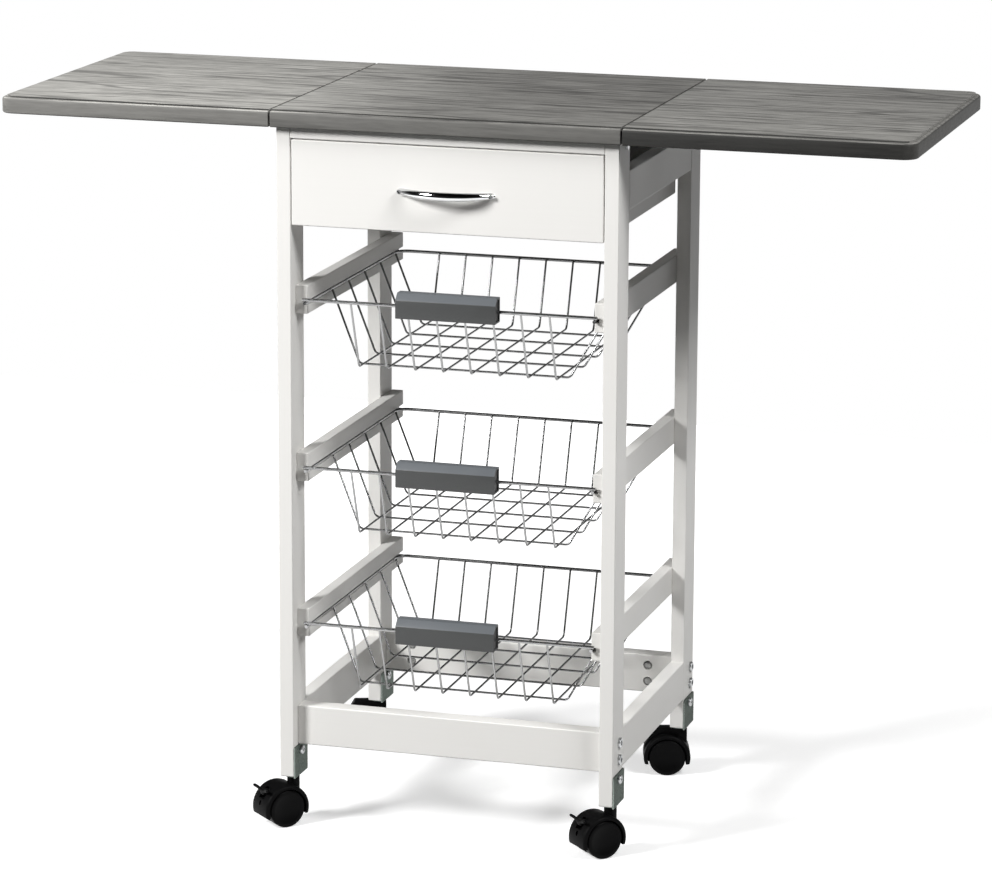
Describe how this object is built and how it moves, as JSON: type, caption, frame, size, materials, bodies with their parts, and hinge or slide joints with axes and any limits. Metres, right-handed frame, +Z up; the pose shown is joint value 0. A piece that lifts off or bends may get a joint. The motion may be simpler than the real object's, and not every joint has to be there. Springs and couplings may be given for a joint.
{
  "type": "kitchen cart",
  "caption": "Narrow rolling kitchen cart: white wooden frame, grey worktop with fold-down leaves, drawer with bow handle, pull-out wire baskets and swivel casters with brakes.",
  "frame": {"origin": "on the floor, under the middle of the four legs", "axes": "+X along the cart's width to the right as seen from the drawer's side, +Y to the back, +Z up"},
  "size_m": [0.958, 0.3642, 0.76],
  "materials": {
    "white_wood": "white satin lacquer on wood",
    "grey_top": "grey wood-grain board, satin",
    "chrome": "bright chrome plating",
    "zinc": "zinc-plated steel",
    "grip_plastic": "blue-grey moulded plastic",
    "black_plastic": "black moulded plastic",
    "bare_wood": "unfinished beech"
  },
  "bodies": {
    "cart": {"apron_left": "white_wood", "apron_right": "white_wood", "barrel_nuts": "zinc", "basket_rail_lower_left": "white_wood", "basket_rail_lower_right": "white_wood", "basket_rail_middle_left": "white_wood", "basket_rail_middle_right": "white_wood", "basket_rail_upper_left": "white_wood", "basket_rail_upper_right": "white_wood", "caster_bracket_screws": "zinc", "caster_brackets": "zinc", "caster_stems": "zinc", "drawer_runners": "white_wood", "foot_rail_front": "white_wood", "foot_rail_left": "white_wood", "foot_rail_rear": "white_wood", "foot_rail_right": "white_wood", "frame_bolts": "zinc", "frame_screws": "zinc", "hinge_pins": "zinc", "hinge_plates_center": "zinc", "hinge_screws": "zinc", "leg_front_left": "white_wood", "leg_front_right": "white_wood", "leg_rear_left": "white_wood", "leg_rear_right": "white_wood", "top_center": "grey_top", "top_rail_front": "white_wood", "top_rail_rear": "white_wood", "wood_dowels": "bare_wood"},
    "basket_lower": {"basket_grip_lower": "grip_plastic", "basket_wires_lower": "chrome"},
    "basket_middle": {"basket_grip_middle": "grip_plastic", "basket_wires_middle": "chrome"},
    "basket_upper": {"basket_grip_upper": "grip_plastic", "basket_wires_upper": "chrome"},
    "brake_front_left": {"caster_brake_front_left": "black_plastic"},
    "brake_front_right": {"caster_brake_front_right": "black_plastic"},
    "caster_front_left": {"caster_hood_front_left": "black_plastic"},
    "caster_front_right": {"caster_hood_front_right": "black_plastic"},
    "caster_rear_left": {"caster_hood_rear_left": "black_plastic"},
    "caster_rear_right": {"caster_hood_rear_right": "black_plastic"},
    "wheels_front_left": {"caster_wheels_front_left": "black_plastic"},
    "wheels_front_right": {"caster_wheels_front_right": "black_plastic"},
    "wheels_rear_left": {"caster_wheels_rear_left": "black_plastic"},
    "wheels_rear_right": {"caster_wheels_rear_right": "black_plastic"},
    "drawer": {"drawer_back": "white_wood", "drawer_floor": "white_wood", "drawer_front": "white_wood", "drawer_handle": "chrome", "drawer_side_left": "white_wood", "drawer_side_right": "white_wood", "handle_screws": "zinc"},
    "leaf_left": {"hinge_plates_leaf_left": "zinc", "leaf_left": "grey_top"},
    "leaf_right": {"hinge_plates_leaf_right": "zinc", "leaf_right": "grey_top"}
  },
  "joints": [
    {"name": "left_leaf_fold", "type": "hinge", "parent": "cart", "child": "leaf_left", "pos_m": [-0.184, 0, 0.738], "axis": [0, -1, 0], "range_deg": [0, 90]},
    {"name": "right_leaf_fold", "type": "hinge", "parent": "cart", "child": "leaf_right", "pos_m": [0.184, 0, 0.738], "axis": [0, 1, 0], "range_deg": [0, 90]},
    {"name": "drawer_slide", "type": "slide", "parent": "cart", "child": "drawer", "axis": [0, -1, 0], "range_m": [0, 0.2]},
    {"name": "basket_upper_slide", "type": "slide", "parent": "cart", "child": "basket_upper", "axis": [0, -1, 0], "range_m": [0, 0.24]},
    {"name": "basket_middle_slide", "type": "slide", "parent": "cart", "child": "basket_middle", "axis": [0, -1, 0], "range_m": [0, 0.24]},
    {"name": "basket_lower_slide", "type": "slide", "parent": "cart", "child": "basket_lower", "axis": [0, -1, 0], "range_m": [0, 0.24]},
    {"name": "front_left_swivel", "type": "hinge", "parent": "cart", "child": "caster_front_left", "pos_m": [-0.1725, -0.146, 0.045], "axis": [0, 0, 1], "continuous": true},
    {"name": "front_left_roll", "type": "hinge", "parent": "caster_front_left", "child": "wheels_front_left", "pos_m": [-0.18273, -0.15697, 0.02], "axis": [-0.7314, 0.682, 0], "continuous": true},
    {"name": "front_left_brake", "type": "hinge", "parent": "caster_front_left", "child": "brake_front_left", "pos_m": [-0.19303, -0.16802, 0.038], "axis": [0.7314, -0.682, 0], "range_deg": [0, 25]},
    {"name": "front_right_swivel", "type": "hinge", "parent": "cart", "child": "caster_front_right", "pos_m": [0.1725, -0.146, 0.045], "axis": [0, 0, 1], "continuous": true},
    {"name": "front_right_roll", "type": "hinge", "parent": "caster_front_right", "child": "wheels_front_right", "pos_m": [0.16189, -0.15661, 0.02], "axis": [-0.7071, 0.7071, 0], "continuous": true},
    {"name": "front_right_brake", "type": "hinge", "parent": "caster_front_right", "child": "brake_front_right", "pos_m": [0.15121, -0.16729, 0.038], "axis": [0.7071, -0.7071, 0], "range_deg": [0, 25]},
    {"name": "rear_left_swivel", "type": "hinge", "parent": "cart", "child": "caster_rear_left", "pos_m": [-0.1725, 0.146, 0.045], "axis": [0, 0, 1], "continuous": true},
    {"name": "rear_left_roll", "type": "hinge", "parent": "caster_rear_left", "child": "wheels_rear_left", "pos_m": [-0.1866, 0.14087, 0.02], "axis": [-0.342, 0.9397, 0], "continuous": true},
    {"name": "rear_right_swivel", "type": "hinge", "parent": "cart", "child": "caster_rear_right", "pos_m": [0.1725, 0.146, 0.045], "axis": [0, 0, 1], "continuous": true},
    {"name": "rear_right_roll", "type": "hinge", "parent": "caster_rear_right", "child": "wheels_rear_right", "pos_m": [0.15815, 0.14161, 0.02], "axis": [-0.2924, 0.9563, 0], "continuous": true}
  ]
}
